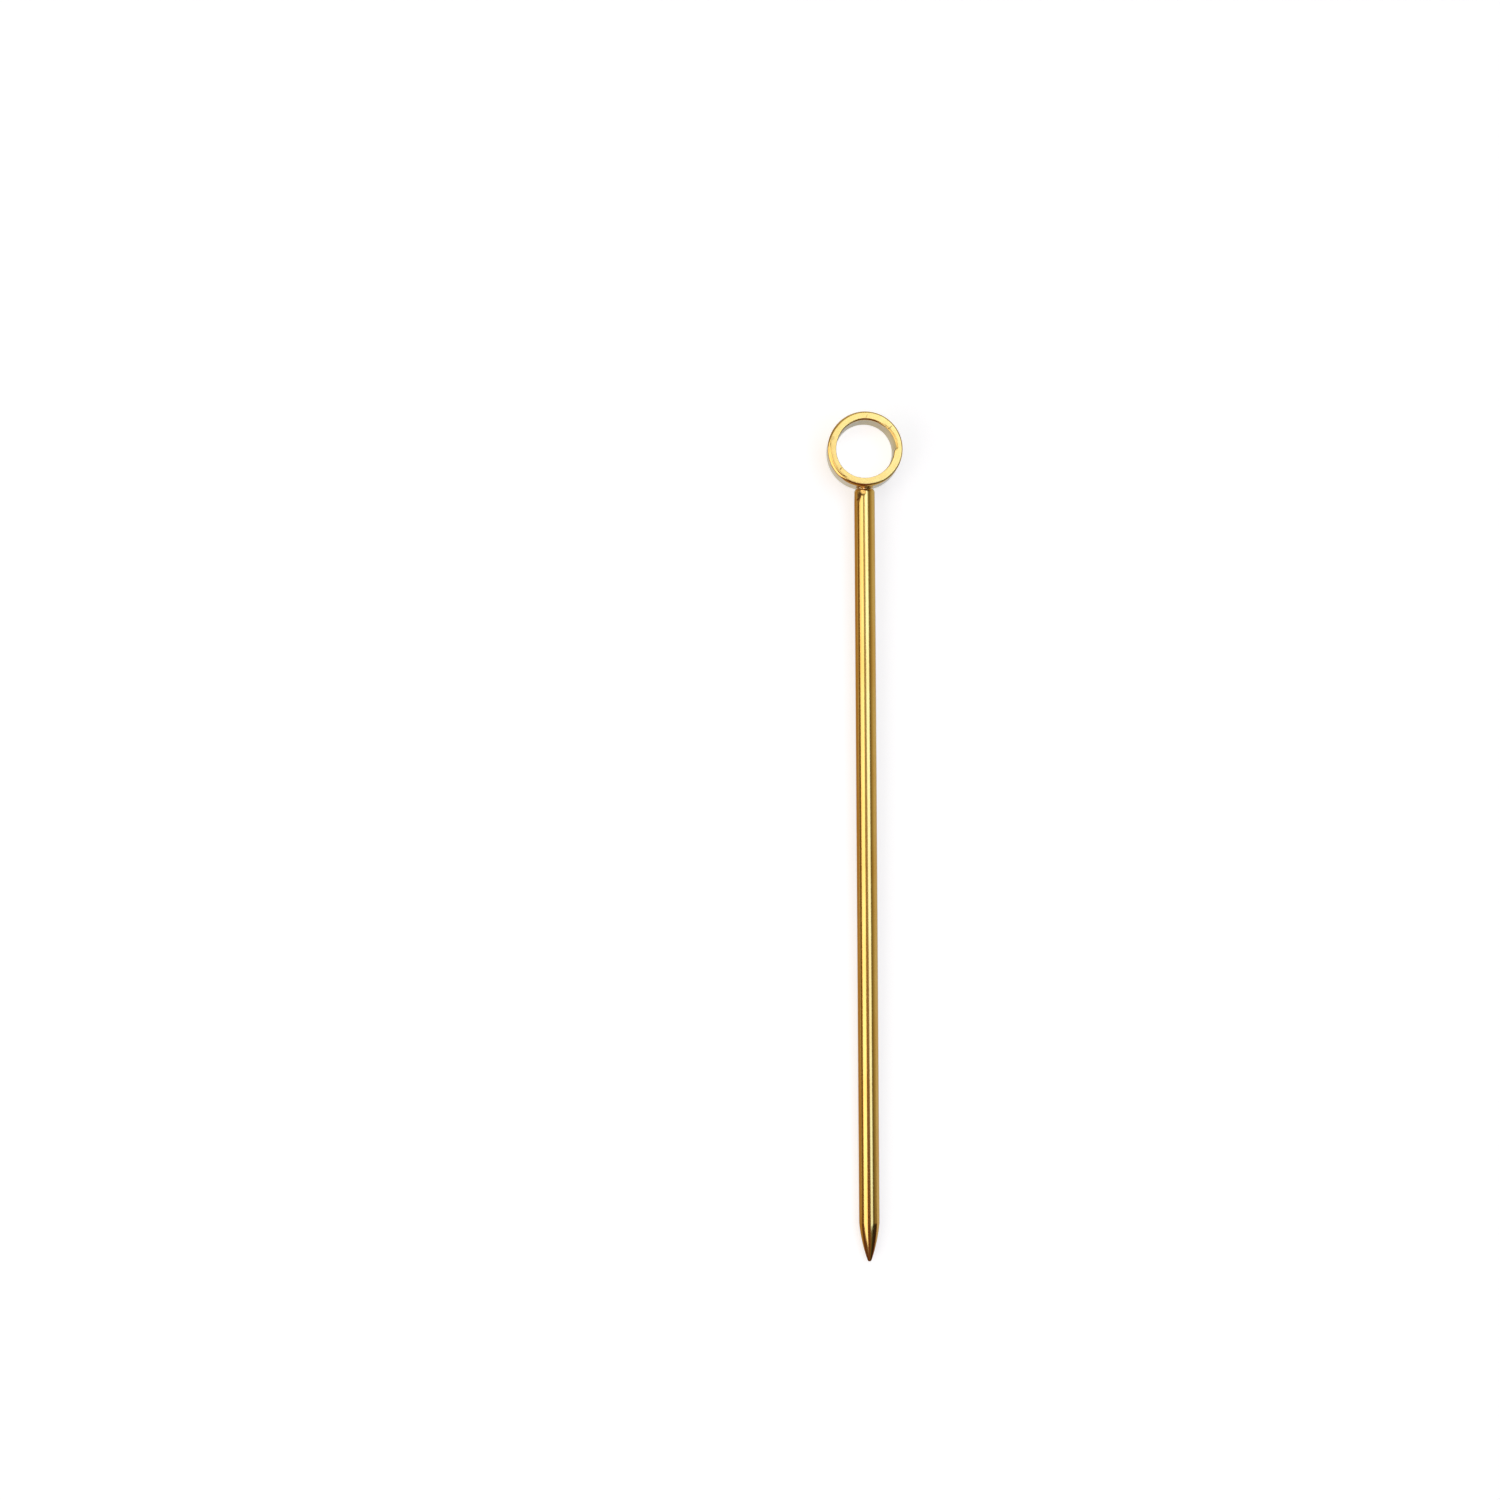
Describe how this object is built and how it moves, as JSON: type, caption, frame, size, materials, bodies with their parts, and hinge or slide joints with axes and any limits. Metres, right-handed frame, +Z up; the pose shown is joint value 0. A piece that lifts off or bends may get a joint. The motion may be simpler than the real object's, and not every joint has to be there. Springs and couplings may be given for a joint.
{
  "type": "cocktail pick",
  "caption": "Slim pointed metal pick with a small ring at the other end as a grip, for spearing olives, cherries and other garnishes in drinks.",
  "frame": {"origin": "on the table under the middle of the pick's box, as the pick lies at rest", "axes": "+Z up from the table, +Y from the point towards the ring, +X across. The pick lies tipped by 0.85 degrees, because the ring is deeper than the pin is thick: it rests on the ring's lower edge and on the shoulder of the point"},
  "size_m": [0.0102, 0.116, 0.0059],
  "materials": {
    "gold_steel": "polished"
  },
  "bodies": {
    "root": {"shaft": "gold_steel", "ring": "gold_steel"}
  },
  "joints": []
}
